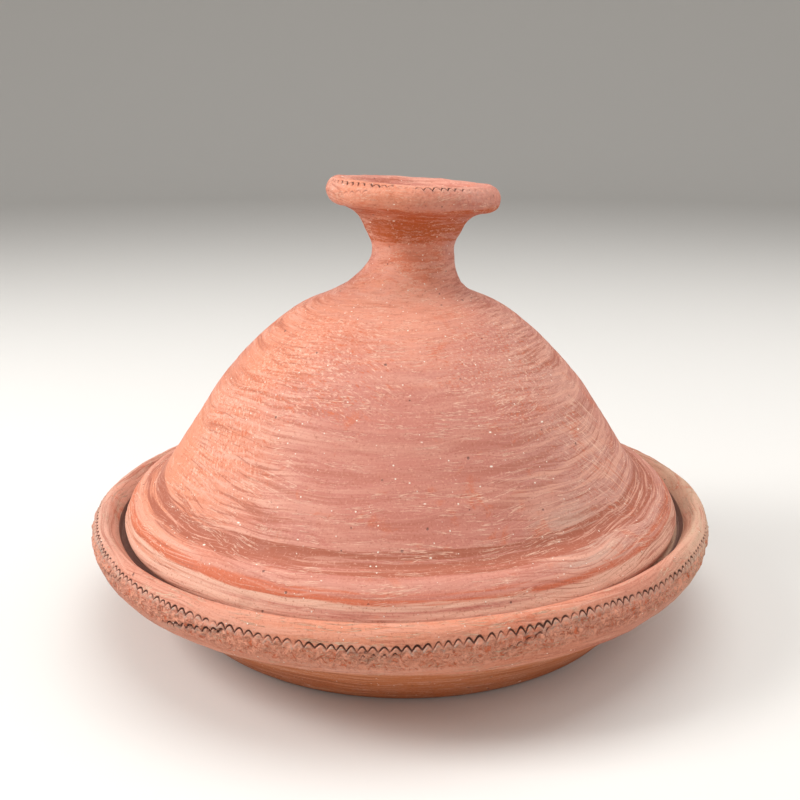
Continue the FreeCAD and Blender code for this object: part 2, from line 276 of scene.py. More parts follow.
class Outline:
    """Half section of a piece as a smooth curve of its length, with its sharp corners kept."""

    def __init__(self, name, seam_height, seam_tilt):
        places = section_chain(name)
        apart = np.hypot(*np.diff(places, axis=0).T)
        places = places[np.concatenate([[True], apart > 1e-6])]
        step = np.diff(places, axis=0)
        knots = np.concatenate([[0.0], np.cumsum(np.hypot(*step.T))])
        heading = np.unwrap(np.arctan2(step[:, 1], step[:, 0]))
        turned = np.abs(np.diff(heading)) > CORNER_TURN
        corners = [0] + [index + 1 for index in np.flatnonzero(turned)] + [len(knots) - 1]
        self.corners = knots[corners]
        tables = [self._span(places, knots, first, last) for first, last in zip(corners, corners[1:])]
        self.s, self.r, self.z, self.nr, self.nz = (np.concatenate(column) for column in zip(*tables))
        self.closed = places[0, 0] > 0
        seam_corners = [corner for corner in corners if abs(places[corner, 1] - seam_height) < 1e-5]
        self.seat = tuple(sorted(set(knots[seam_corners])))[:2]
        outer = max(seam_corners, key=lambda corner: places[corner, 0])
        self.seam = knots[outer]
        self.seam_direction = (math.cos(seam_tilt), math.sin(seam_tilt))

    @staticmethod
    def _span(places, knots, first, last):
        """Finely read table of one stretch between corners: length, radius, height and normal."""
        count = max(3, int((knots[last] - knots[first]) / (0.05 * MM)))
        margin = 1e-8
        where = np.linspace(knots[first] + margin, knots[last] - margin, count)
        own = slice(first, last + 1)
        radius = smooth_curve(knots[own], places[own, 0], where)
        height = smooth_curve(knots[own], places[own, 1], where)
        run = np.gradient(radius, where)
        rise = np.gradient(height, where)
        size = np.hypot(run, rise)
        return where, radius, height, rise / size, -run / size

    def read(self, s):
        """Radius, height and normal at the given lengths. A corner takes the side that shows."""
        low, high = self.seat
        nudge = 1e-7
        s = np.where(np.abs(s - low) < nudge, low - nudge, s)
        s = np.where(np.abs(s - high) < nudge, high + nudge, s)
        radius, height, nr, nz = (np.interp(s, self.s, table) for table in (self.r, self.z, self.nr, self.nz))
        near = smooth_step(np.abs(s - self.seam), 0.0, 7 * MM)
        nr = nr * near + self.seam_direction[0] * (1 - near)
        nz = nz * near + self.seam_direction[1] * (1 - near)
        size = np.hypot(nr, nz)
        return radius, height, nr / size, nz / size

    def hidden(self, s):
        """True on the seat face, where two members of the clay meet and nothing shows."""
        low, high = self.seat
        return (s > low + 1e-6) & (s < high - 1e-6)

    def rings(self, rule):
        """(length along the outline, columns) of each ring; rule gives both the step and the columns."""
        def ask(s):
            inside = s + 1e-6
            return rule(inside, *(float(value) for value in self.read(np.array(inside))[:2]))

        found = []
        for first, last in zip(self.corners, self.corners[1:]):
            where = [first]
            while where[-1] < last - 1e-9:
                where.append(where[-1] + ask(where[-1])[0])
            where = first + (np.array(where) - first) * (last - first) / (where[-1] - first)
            found += [(s, ask(s)[1]) for s in where[:-1]]
        if not self.closed:
            found.append((self.corners[-1], found[-1][1]))
        return found


# ---- turned meshes ----


def stitch(first, first_count, second, second_count):
    """Triangles between two rings whose columns are the same or a whole number of times apart."""
    if first_count > second_count:
        return stitch(second, second_count, first, first_count)[:, ::-1]
    ratio = second_count // first_count
    if ratio * first_count != second_count:
        raise RuntimeError(f"rings of {first_count} and {second_count} columns don't fit")
    split = (ratio + 1) // 2
    fine = np.arange(second_count)
    apex = (fine // ratio + (fine % ratio >= split)) % first_count
    fan = np.stack([second + fine, first + apex, second + (fine + 1) % second_count], axis=-1)
    if first_count == 1:
        return fan
    coarse = np.arange(first_count)
    tip = second + (coarse * ratio + split) % second_count
    return np.vstack([fan, np.stack([first + coarse, first + (coarse + 1) % first_count, tip], axis=-1)])


def around(angle, radius, height):
    """Points of a ring, from their angles, radii and heights."""
    return np.stack([radius * np.cos(angle), radius * np.sin(angle), height], axis=-1)


def turned_piece(name, outline, rule, slide, relief, warp, marks=()):
    """Mesh object turned from an outline, with its relief, its warp and its named surface marks."""
    rings = outline.rings(rule)
    places = []
    layers = {"along": [], **{mark: [] for mark in marks}}
    counts = []
    for s, columns in rings:
        pole = not outline.closed and s in (outline.corners[0], outline.corners[-1])
        count = 1 if pole else columns
        angle = np.arange(count) * FULL_TURN / count
        where = np.full(count, s) + slide(angle, s)
        radius, height, nr, nz = outline.read(where)
        if pole:
            radius = np.zeros(1)
        along = where - outline.seam
        depth, values = relief(angle, along, around(angle, radius, height))
        shown = 0.0 if outline.hidden(s) or pole else 1.0
        places.append(warp(around(angle, radius + depth * nr * shown, height + depth * nz * shown), angle))
        layers["along"].append(along)
        for mark in marks:
            layers[mark].append(values[mark] * shown)
        counts.append(count)
    starts = np.cumsum([0] + counts)
    last = len(rings) if outline.closed else len(rings) - 1
    pairs = [(index, (index + 1) % len(rings)) for index in range(last)]
    faces = np.vstack([stitch(starts[one], counts[one], starts[two], counts[two]) for one, two in pairs])
    return build_object(name, np.vstack(places), faces, layers)


def build_object(name, places, faces, layers):
    """Mesh object from its points and triangles, smooth but for its sharp edges, with its layers."""
    mesh = bpy.data.meshes.new(name)
    mesh.vertices.add(len(places))
    mesh.vertices.foreach_set("co", places.astype(np.float32).ravel())
    mesh.loops.add(faces.size)
    mesh.loops.foreach_set("vertex_index", faces.astype(np.int32).ravel())
    mesh.polygons.add(len(faces))
    mesh.polygons.foreach_set("loop_start", np.arange(0, faces.size, 3, dtype=np.int32))
    mesh.update(calc_edges=True)
    if mesh.validate():
        raise RuntimeError(f"the mesh of {name} had faulty faces")
    mesh.shade_smooth()
    mesh.set_sharp_from_angle(angle=SHARP_EDGE)
    for layer, values in layers.items():
        stored = mesh.attributes.new(layer, "FLOAT", "POINT")
        stored.data.foreach_set("value", np.concatenate(values).astype(np.float32))
    piece = bpy.data.objects.new(name, mesh)
    bpy.context.scene.collection.objects.link(piece)
    return piece


# ---- marks of the maker's hand ----


def toothed_line(angle, offset, teeth, swing, width, seed):
    """Depth of a line stamped with a toothed tool, and the height over it, offset being from its middle.

    The teeth are arches that meet in points, and in places they run together into a plain wave.
    """
    zero = np.zeros_like(angle)
    phase = angle / FULL_TURN * teeth + 0.35 * strokes(angle, zero, teeth * 0.35, 1.0, seed)
    phase = phase + 0.11 * np.sin(FULL_TURN * phase) * strokes(angle, zero, 7, 1.0, seed + 2)
    arch = 2.0 * np.abs(np.sin(math.pi * phase)) - 1.0
    wave = -np.cos(FULL_TURN * phase)
    plain = smooth_step(strokes(angle, zero, 9, 1.0, seed + 3), 0.0, 0.4)
    tooth = arch * (1.0 - plain) + wave * plain
    swing = swing * (1.0 + 0.35 * strokes(angle, zero, teeth * 0.6, 1.0, seed + 5))
    above = offset - swing * tooth
    steep = 1.4 * np.abs(np.cos(math.pi * phase))
    away = np.abs(above) / np.sqrt(1.0 + steep * steep)
    return smooth_step(1.0 - away / width, 0.0, 0.75) * (0.74 + 0.26 * tooth), above


def run_strength(angle, seed):
    """How hard the tool was pressed round the line: uneven, and faint in a few places."""
    zero = np.zeros_like(angle)
    soft = strokes(angle, zero, 22, 1.0, seed)
    fine = strokes(angle, zero, 170, 1.0, seed + 3)
    return np.clip(0.88 + 0.45 * soft + 0.55 * fine, 0.15, 1.0)


def stamped(angle, offset, teeth, extra_runs, settings, seed):
    """Depth of the whole stamped line with its extra runs, the clay pushed up under it, and its residue."""
    swing = settings.stamp_swing
    width = settings.stamp_width
    line, above = toothed_line(angle, offset, teeth, swing, width, seed)
    line = line * run_strength(angle, seed + 11)
    under = bell(above, *PUSHED_UP)
    degrees = np.degrees(angle) % 360.0
    for number, (start, end, low, high, strength) in enumerate(extra_runs):
        part = np.clip((degrees - start) / (end - start), 0.0, 1.0)
        middle = (low + (high - low) * part**0.8) * MM
        inside = smooth_step(degrees, start - 0.3, start + 1.2) * (1 - smooth_step(degrees, end - 0.6, end))
        run, above = toothed_line(angle, offset - middle, teeth, swing, width, seed + 31 + number)
        line = np.maximum(line, run * inside * strength)
        under = np.maximum(under, bell(above, *PUSHED_UP) * inside * strength)
    ragged = np.clip(0.55 + 0.7 * strokes(angle, offset, 380, 1.3 * MM, seed + 60), 0.0, 1.0)
    return line, under * ragged * (1 - line)


def oval(angle, share, settings):
    """How much wider the clay is at each angle, where the given share of the rim's unroundness reaches."""
    wider = settings.out_of_round / RIM_RADIUS * share * np.cos(2 * (angle - OVAL_TURN))
    return (1.0 + wider)[:, None]


def dish_warp(settings):
    """How the whole dish is out of true: not quite round, and its rim not quite level."""
    def warp(place, angle):
        height = place[:, 2]
        moved = place.copy()
        moved[:, :2] *= oval(angle, smooth_step(height, 20 * MM, 46 * MM), settings)
        outer = smooth_step(from_axis(place), 137 * MM, 143 * MM)
        dip = settings.rim_dip * (0.55 * np.sin(angle) + 0.35 * np.sin(2 * angle) + 0.3)
        moved[:, 2] -= dip * smooth_step(height, 46 * MM, 53 * MM) * outer
        moved[:, 0] += 1.2 * MM * (1 - smooth_step(height, 2 * MM, 30 * MM))
        return moved
    return warp


def lid_warp(settings):
    """How the lid is out of true: the knob stands off the middle and its lip leans."""
    def warp(place, angle):
        height = place[:, 2]
        off = smooth_step(height, CROWN_SEAM - 8 * MM, CROWN_SEAM + 14 * MM)
        lean = smooth_step(height, CROWN_SEAM + 6 * MM, LIP_TOP - 8 * MM)
        side = settings.lid_shift * smooth_step(height, 50 * MM, 75 * MM)
        moved = place.copy()
        moved[:, :2] *= oval(angle, 1.0 - smooth_step(height, 60 * MM, 100 * MM), settings)
        moved[:, 0] += settings.knob_shift * off + side
        moved[:, 2] -= place[:, 0] * math.tan(settings.knob_lean) * lean
        return moved
    return warp


def no_slide(angle, s):
    """Rings that stay level."""
    return np.zeros_like(angle)


def dish_skin(angle, along, place, settings):
    """Relief that the bowl and its rim coil share, so that it runs on across the seam."""
    swell = 0.45 * MM * lumps(place, 34 * MM, 11)
    ridges = 0.16 * MM * strokes(angle, along, 5, 4.5 * MM, 17)
    rub = 0.09 * MM * strokes(angle, along, 40, 1.5 * MM, 23)
    grain = 0.05 * MM * lumps(place, 2.4 * MM, 29)
    # Clay dragged down over the seam, from just above it to just under it.
    drag = 0.28 * MM * bell(along, -1.0 * MM, 4.5 * MM) * strokes(angle, along, 90, 3.2 * MM, 37)
    step = 0.5 * MM * (smooth_step(along, -5 * MM, -0.5 * MM) - smooth_step(along, 0.5 * MM, 9 * MM))
    return (swell + ridges + rub + grain + drag + step) * settings.hand


# ---- clay materials ----


class Clay:
    """Builder of one clay material: its nodes are made one after another and joined as they are made."""

    def __init__(self, name):
        self.material = bpy.data.materials.new(name)
        self.material.use_nodes = True
        self.tree = self.material.node_tree
        self.shader = self.tree.nodes["Principled BSDF"]
        self.place = self.make("ShaderNodeTexCoord").outputs["Object"]
        x, y, self.z = self.make("ShaderNodeSeparateXYZ", self.place).outputs
        square = self.sum(self.times(x, x), self.times(y, y))
        self.radius = self.math("MAXIMUM", self.math("SQRT", square), NEAR_AXIS)
        self.cosine = self.math("DIVIDE", x, self.radius)
        self.sine = self.math("DIVIDE", y, self.radius)
        self.along = self.mark("along")

    def make(self, kind, *ordered, operation=None, **named):
        """A node with its inputs set or joined, in their order or by their names."""
        node = self.tree.nodes.new(kind)
        if operation:
            node.operation = operation
        for socket, value in zip(node.inputs, ordered):
            self.feed(socket, value)
        for name, value in named.items():
            self.feed(node.inputs[name.replace("_", " ")], value)
        return node

    def feed(self, socket, value):
        """Set a socket, or join it where the value is another node's output."""
        if isinstance(value, bpy.types.NodeSocket):
            self.tree.links.new(value, socket)
        else:
            socket.default_value = value

    def mark(self, name):
        """A layer of the mesh, as a number."""
        node = self.make("ShaderNodeAttribute")
        node.attribute_name = name
        return node.outputs["Fac"]

    def math(self, operation, first, second=0.0):
        """One sum of two values."""
        return self.make("ShaderNodeMath", first, second, operation=operation).outputs[0]

    def times(self, first, second):
        """Product of two values."""
        return self.math("MULTIPLY", first, second)

    def sum(self, first, second):
        """Sum of two values."""
        return self.math("ADD", first, second)

    def spread(self, value, width):
        """A value from 0 to 1 moved to lie evenly about 0, over the given width."""
        return self.times(self.math("SUBTRACT", value, 0.5), width)

    def grade(self, value, low, high, start=0.0, end=1.0):
        """Value eased from start to end as it goes from low to high."""
        node = self.make("ShaderNodeMapRange", value, low, high, start, end)
        node.interpolation_type = "SMOOTHSTEP"
        return node.outputs["Result"]

    def distance(self, centre):
        """Distance from a point, in metres."""
        return self.make("ShaderNodeVectorMath", self.place, centre, operation="DISTANCE").outputs["Value"]

    def cloud(self, size, detail=3.0, rough=0.5, vector=None, seed=0.0, distortion=0.0):
        """Soft noise from 0 to 1 with features of about the given size."""
        node = self.make("ShaderNodeTexNoise", vector or self.place, Scale=1.0 / size, Detail=detail,
                         Roughness=rough, Distortion=distortion)
        node.noise_dimensions = "4D"
        node.inputs["W"].default_value = seed
        return node.outputs["Fac"]

    def drawn(self, turns, width, seed, detail=3.0, rough=0.6, wave=0.0):
        """Noise drawn out round the axis, in streaks of the given width; wave lets them wander."""
        along = self.along
        if wave:
            along = self.sum(along, self.spread(self.cloud(50 * MM, 1.0, seed=seed + 7.0), wave))
        reach = turns / FULL_TURN
        sides = (self.times(self.cosine, reach), self.times(self.sine, reach), self.times(along, 1.0 / width))
        return self.cloud(1.0, detail, rough, self.make("ShaderNodeCombineXYZ", *sides).outputs[0], seed)

    def hatch(self, direction, length, width, seed):
        """Straight strokes along a direction in space that isn't upright, from 0 to 1."""
        first = np.array(direction) / np.linalg.norm(direction)
        second = np.cross(first, (0.0, 0.0, 1.0))
        second /= np.linalg.norm(second)
        bend = self.spread(self.cloud(20 * MM, 1.0, seed=seed + 3.0), 1.5)
        sides = []
        for axis, size in ((first, length), (second, width), (np.cross(first, second), width)):
            side = self.make("ShaderNodeVectorMath", self.place, tuple(axis / size), operation="DOT_PRODUCT")
            sides.append(self.sum(side.outputs["Value"], bend))
        return self.cloud(1.0, 3.0, 0.6, self.make("ShaderNodeCombineXYZ", *sides).outputs[0], seed)

    def dots(self, spacing, size, seed, stretch=(1.0, 1.0, 1.0)):
        """Scattered grains or pits: 1 inside one, and the largest are of the given size."""
        shift = (seed, seed * 1.7, seed * 0.6)
        where = self.make("ShaderNodeVectorMath", self.place, stretch, shift, operation="MULTIPLY_ADD")
        cells = self.make("ShaderNodeTexVoronoi", where.outputs[0], Scale=1.0 / spacing)
        luck, girth, _ = self.make("ShaderNodeSeparateColor", cells.outputs["Color"]).outputs
        present = self.grade(luck, 1.0 - GRAIN_SHARE, 1.0 - GRAIN_SHARE * 0.8)
        reach = self.times(self.grade(girth, 0.0, 1.0, 0.55, 1.0), size / spacing)
        edge = self.math("DIVIDE", cells.outputs["Distance"], reach)
        ragged = self.sum(edge, self.spread(self.cloud(size, 2.0), 0.9))
        return self.times(self.grade(ragged, 1.0, 0.55), present)

    def blend(self, factor, first, second):
        """Two colours mixed by a factor."""
        node = self.make("ShaderNodeMix", factor)
        node.data_type = "RGBA"
        for socket, value in zip(node.inputs[6:8], (first, second)):
            self.feed(socket, value if isinstance(value, bpy.types.NodeSocket) else (*value, 1.0))
        return node.outputs[2]

    def tint(self, colour, tint, value, low, high, strength=1.0, where=None):
        """A colour turned towards a tint as a value goes from low to high, in a given place or all over."""
        factor = self.grade(value, low, high, 0.0, strength)
        return self.blend(self.times(factor, where) if where else factor, colour, tint)

    def finish(self, colour, height, depth, rough_low, rough_high):
        """Join the colour, the fine relief and the roughness to the shader."""
        self.feed(self.shader.inputs["Base Color"], colour)
        rough = self.cloud(12 * MM, 4.0, 0.7, seed=9.0)
        self.feed(self.shader.inputs["Roughness"], self.grade(rough, 0.3, 0.7, rough_low, rough_high))
        self.shader.inputs["Specular IOR Level"].default_value = CLAY_SHEEN
        bump = self.make("ShaderNodeBump", Height=height, Distance=depth, Strength=1.0)
        self.feed(self.shader.inputs["Normal"], bump.outputs["Normal"])
        return self.material


def clay_material(name, look, patches=(), zones=(), hatches=()):
    """Unglazed clay: body colour, fired patches, ring-shaped zones, streaks, brush lines, specks and pits.
    The pits and some patches and zones are painted shade, one zone is painted light, and the chalky lines are
    partly painted highlights.

    A patch is (colour, centre, reach, strength) and a zone is (colour, low z, high z, strength, seed),
    in metres. A hatch is (direction, centre, reach, strength, seed) of strokes that cross the others.
    """
    clay = Clay(name)
    clouds = clay.cloud(45 * MM, 4.0, 0.6, seed=1.0, distortion=0.5)
    wide = clay.drawn(5, 10 * MM, 2.0, 4.0, 0.62, 0.04)
    streak = clay.drawn(8, 4.2 * MM, 3.0, 5.0, 0.66, 0.020)
    fine = clay.drawn(17, 1.2 * MM, 4.0, 4.0, 0.65, 0.016)
    grain = clay.cloud(1.0 * MM, 3.0, 0.6, seed=5.0)
    blotch = clay.cloud(16 * MM, 5.0, 0.68, seed=6.0, distortion=1.0)
    ragged = clay.sum(clay.spread(clouds, 50 * MM), clay.spread(streak, 60 * MM))
    calm = clay.grade(clay.cloud(70 * MM, 2.0, seed=40.0), 0.40, 0.60, 0.3, 1.0)
    calm = clay.times(calm, clay.grade(clay.distance(CALM_SPOT), 25 * MM, 70 * MM, 0.45, 1.0))

    colour = look.body
    for tint, centre, reach, strength in patches:
        near = clay.sum(clay.distance(centre), ragged)
        colour = clay.tint(colour, getattr(look, tint), near, reach, reach * 0.3, strength)
    colour = clay.tint(colour, look.pale, wide, 0.48, 0.66, 0.35)
    colour = clay.tint(colour, look.pale, streak, 0.52, 0.61, 0.8, calm)
    colour = clay.tint(colour, look.deep, streak, 0.48, 0.37, 0.75, calm)
    colour = clay.tint(colour, look.rust, blotch, 0.55, 0.68, 0.6)
    for tint, low, high, strength, seed in zones:
        place = clay.sum(clay.z, clay.spread(streak, 6 * MM))
        ring = clay.times(clay.grade(place, low - ZONE_EDGE, low), clay.grade(place, high + ZONE_EDGE, high))
        uneven = clay.grade(clay.drawn(7, 3 * MM, seed, 4.0, 0.7), 0.36, 0.56, 0.0, strength)
        colour = clay.blend(clay.times(ring, uneven), colour, getattr(look, tint))
    colour = clay.tint(colour, look.pale, fine, 0.53, 0.61, 0.85, calm)
    colour = clay.tint(colour, look.deep, fine, 0.47, 0.38, 0.75, calm)
    # Thin chalky lines along the streaks, partly painted highlights on their raised edges, which the bump
    # raises too.
    line = clay.math("ABSOLUTE", clay.spread(streak, 1.0))
    raised = clay.times(clay.grade(line, 0.012, 0.003), clay.grade(blotch, 0.44, 0.54, 0.0, 0.8))
    colour = clay.blend(raised, colour, look.chalk)
    for direction, centre, reach, strength, seed in hatches:
        across = clay.hatch(direction, 30 * MM, 1.0 * MM, seed)
        near = clay.grade(clay.sum(clay.distance(centre), ragged), reach, reach * 0.5)
        # The chalk side of each stroke is partly a painted highlight; the rust side is the strokes' own warm
        # colour.
        light = clay.times(clay.grade(across, 0.56, 0.64, 0.0, strength * 1.3), near)
        colour = clay.blend(light, colour, look.chalk)
        colour = clay.tint(colour, look.rust, across, 0.45, 0.37, strength * 1.3, near)
        raised = clay.sum(raised, clay.times(light, 0.4))
    colour = clay.tint(colour, look.pale, grain, 0.55, 0.70, 0.6)
    colour = clay.tint(colour, look.deep, grain, 0.45, 0.30, 0.6)

    specks = clay.dots(3.2 * MM, 0.45 * MM, 3.1)
    flecks = clay.dots(6.5 * MM, 0.48 * MM, 8.3, (0.5, 0.5, 1.0))
    pits = clay.dots(8 * MM, 0.8 * MM, 5.7)
    # The pits are filled with painted shade; the specks and flecks are lime and quartz grains.
    for spots, share, tint in ((specks, 0.9, look.speck), (flecks, 0.95, look.speck), (pits, 0.75, look.pit_and_gap_shade)):
        colour = clay.blend(clay.times(spots, share), colour, tint)
    height = clay.times(fine, 0.55)
    for layer, share in ((streak, 0.45), (grain, 0.30), (raised, 0.2), (specks, 0.3)):
        height = clay.sum(height, clay.times(layer, share))
    return clay, colour, clay.math("SUBTRACT", height, clay.times(pits, 0.8))


def stamp_colours(clay, colour, height, look):
    """Painted shade in the groove of the stamped line, the grey residue in and under it, and the torn clay
    around it, with painted light on its ridges and painted shade in its hollows.
    """
    torn = clay.cloud(3 * MM, 3.0, 0.6, seed=14.0, distortion=1.5)
    rough = clay.mark("torn")
    # Painted light on the torn clay's ridges and painted shade in its hollows, from the same noise that
    # raises its bump.
    colour = clay.tint(colour, look.bright, torn, 0.51, 0.58, 0.95, rough)
    colour = clay.tint(colour, look.rust, torn, 0.45, 0.38, 0.95, rough)
    height = clay.sum(height, clay.times(clay.times(torn, rough), 3.5))
    ragged = clay.cloud(1.4 * MM, 3.0, 0.7, seed=12.0)
    grey = clay.times(clay.mark("residue"), clay.grade(ragged, 0.42, 0.56, 0.1, 0.9))
    colour = clay.blend(grey, colour, look.residue)
    # Painted shade in the groove of the stamped line.
    dark = clay.sum(clay.mark("stamp"), clay.spread(ragged, 0.3))
    return clay.blend(clay.times(clay.grade(dark, 0.14, 0.5), 0.95), colour, look.groove), height


# ---- settings ----


def colour_setting(name, description, default):
    """A linear colour that a user can change."""
    return bpy.props.FloatVectorProperty(
        name=name, description=description, subtype="COLOR", size=3, min=0.0, max=1.0, default=default)


def number_setting(name, description, default, **more):
    """A number that a user can change."""
    return bpy.props.FloatProperty(name=name, description=description, default=default, **more)


def length_setting(name, description, default):
    """A length in metres that a user can change."""
    return number_setting(name, description, default, unit="LENGTH", precision=5)


def angle_setting(name, description, degrees):
    """An angle that a user can change."""
    return number_setting(name, description, math.radians(degrees), subtype="ANGLE")


class ClayColours:
    """Colours that every clay has."""

    body: colour_setting("Body", "Colour of most of the clay", (0.50, 0.185, 0.138))
    warm: colour_setting("Warm", "Colour where it fired warmer", (0.67, 0.245, 0.135))
    ash: colour_setting("Ash", "Colour where it fired greyer", (0.52, 0.265, 0.21))
    beige: colour_setting("Beige", "Colour of the worn, greyish places", (0.55, 0.35, 0.27))
    # Painted shade under the knob's lip.
    under_lip_shade: colour_setting("Umber", "Colour of the shaded clay under the lip", (0.43, 0.088, 0.020))
    # Also the painted light on the ridges of the torn clay.
    bright: colour_setting("Bright", "Colour where it fired brightest", (0.74, 0.31, 0.20))
    # Also the painted shade in the torn clay's hollows and under the knob's lip.
    rust: colour_setting("Rust", "Colour of the rust-red rings", (0.55, 0.13, 0.055))
    # Also the painted light on the upward-facing ring just under the lid's groove.
    pale: colour_setting("Pale", "Colour of the pale streaks", (0.66, 0.33, 0.24))
    # Also the painted shade in the lid's groove.
    deep: colour_setting("Deep", "Colour of the deep streaks", (0.36, 0.105, 0.06))
    # Also the colour of the thin lines and stroke sides that are partly painted highlights.
    chalk: colour_setting("Chalk", "Colour of the thin chalky strokes", (0.76, 0.46, 0.34))
    speck: colour_setting("Specks", "Colour of the lime and quartz grains", (0.88, 0.77, 0.66))
    # Painted shade inside the pits and in the gap where the lid sits in the dish.
    pit_and_gap_shade: colour_setting("Pits", "Colour inside the pits", (0.15, 0.07, 0.055))
    # Painted shade inside the stamped line.
    groove: colour_setting("Groove", "Colour inside the stamped line", (0.095, 0.036, 0.025))
    residue: colour_setting("Residue", "Grey left under the stamped line", (0.37, 0.30, 0.245))


class TagineLidClay(ClayColours, bpy.types.PropertyGroup):
    """Colours of the lid and its knob."""


class TagineRimClay(ClayColours, bpy.types.PropertyGroup):
    """Colours of the dish's rim."""

    body: colour_setting("Body", "Colour of most of the clay", (0.56, 0.225, 0.150))
    ash: colour_setting("Ash", "Colour where it fired greyer", (0.60, 0.35, 0.27))
    chalk: colour_setting("Chalk", "Colour of the thin chalky strokes", (0.62, 0.43, 0.30))


class TagineBowlClay(ClayColours, bpy.types.PropertyGroup):
    """Colours of the bowl: its clay's colour, made darker and more saturated to paint in the shade and warm
    bounced light under the rim.
    """

    body: colour_setting("Body", "Colour of most of the clay", (0.43, 0.118, 0.036))
    warm: colour_setting("Warm", "Colour where it fired warmer", (0.55, 0.160, 0.048))
    pale: colour_setting("Pale", "Colour of the pale streaks", (0.60, 0.27, 0.15))
    deep: colour_setting("Deep", "Colour of the deep streaks", (0.33, 0.088, 0.030))


class TagineFormSettings(bpy.types.PropertyGroup):
    """Sizes of what the maker's hand left in the clay."""

    hand: number_setting("Hand", "How strongly ridges, lumps and smears stand out", 1.0, min=0.0)
    tooth_pitch: length_setting("Tooth pitch", "From tooth to tooth of the stamped line", 3.95 * MM)
    stamp_swing: length_setting("Tooth height", "How far a tooth swings to each side", 1.0 * MM)
    stamp_width: length_setting("Line width", "Half width of the stamped line", 0.55 * MM)
    stamp_depth: length_setting("Line depth", "How deep the toothed tool went in", 0.85 * MM)
    out_of_round: length_setting("Out of round", "How far the rim is from a true circle", 1.6 * MM)
    rim_dip: length_setting("Rim dip", "How far the back of the rim dips", 2.6 * MM)
    knob_shift: length_setting("Knob shift", "How far the knob stands off the middle", 6.0 * MM)
    lid_shift: length_setting("Lid shift", "How far the dome stands off the middle", -0.8 * MM)
    knob_lean: angle_setting("Knob lean", "How far the lip leans", 3.3)


class TagineStageSettings(bpy.types.PropertyGroup):
    """Floor, light and camera."""

    camera_height: length_setting("Camera height", "Height of the camera over the floor", 0.233)
    camera_distance: length_setting("Camera distance", "From the camera to the dish's axis", 0.475)
    camera_tilt: angle_setting("Camera tilt", "How far the camera looks down", 15.77)
    lens: number_setting("Lens", "Focal length in mm", 45.0)
    key: number_setting("Key light", "Power of the left light in W", 18.0)
    top: number_setting("Top light", "Power of the light above in W", 13.0)
    fill: number_setting("Fill light", "Power of the right light in W", 7.5)
    front: number_setting("Front light", "Power of the front light in W", 3.5)
    sky: number_setting("Sky", "Strength of the light all round", 0.38)
    floor: colour_setting("Floor", "Colour of the floor", (0.70, 0.68, 0.65))


# ---- operators ----


def adopt(piece, body, node, material):
    """Give a piece its material and body, and let it stand for its design node."""
    piece.data.materials.append(material)
    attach(piece, body)
    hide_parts(node)


class TAGINE_OT_bowl(bpy.types.Operator):
    """Throw the bowl of the dish"""

    bl_idname = "tagine.bowl"
    bl_label = "Throw the bowl"

    def execute(self, context):
        form = context.scene.tagine_form
        outline = Outline("dish_bowl", DISH_SEAM, DISH_SEAM_TILT)

        def rule(s, radius, height):
            if s < outline.seam:
                if height < 0.2 * MM:
                    return 4 * MM, DISH_COLUMNS // 2 if radius > 60 * MM else DISH_COLUMNS // 4
                return 1.2 * MM, DISH_COLUMNS
            if radius < 50 * MM:
                return 2.6 * MM, DISH_COLUMNS // 4
            return 2.2 * MM, DISH_COLUMNS // 2 if height < DISH_SEAM - 1 * MM else DISH_COLUMNS

        def relief(angle, along, place):
            radius, height = from_axis(place), place[:, 2]
            skin = dish_skin(angle, along, place, form) * smooth_step(height, 0.5 * MM, 4 * MM)
            spiral = np.sin((radius / (5.2 * MM) + angle / FULL_TURN) * FULL_TURN)
            thrown = 0.22 * MM * spiral * (1 - smooth_step(height, 12 * MM, 30 * MM))
            thrown += 0.25 * MM * strokes(angle, along, 5, 7 * MM, 41)
            fade = smooth_step(radius, 4 * MM, 16 * MM) * smooth_step(DISH_SEAM - height, 0, 3 * MM)
            return np.where(along > BOWL_INSIDE, thrown * fade * form.hand, skin), {}

        piece = turned_piece("bowl", outline, rule, no_slide, relief, dish_warp(form))
        clay, colour, height = clay_material("Bowl clay", context.scene.tagine_bowl_clay, BOWL_PATCHES)
        adopt(piece, "dish", "dish_bowl", clay.finish(colour, height, 0.35 * MM, 0.62, 0.88))
        return {"FINISHED"}


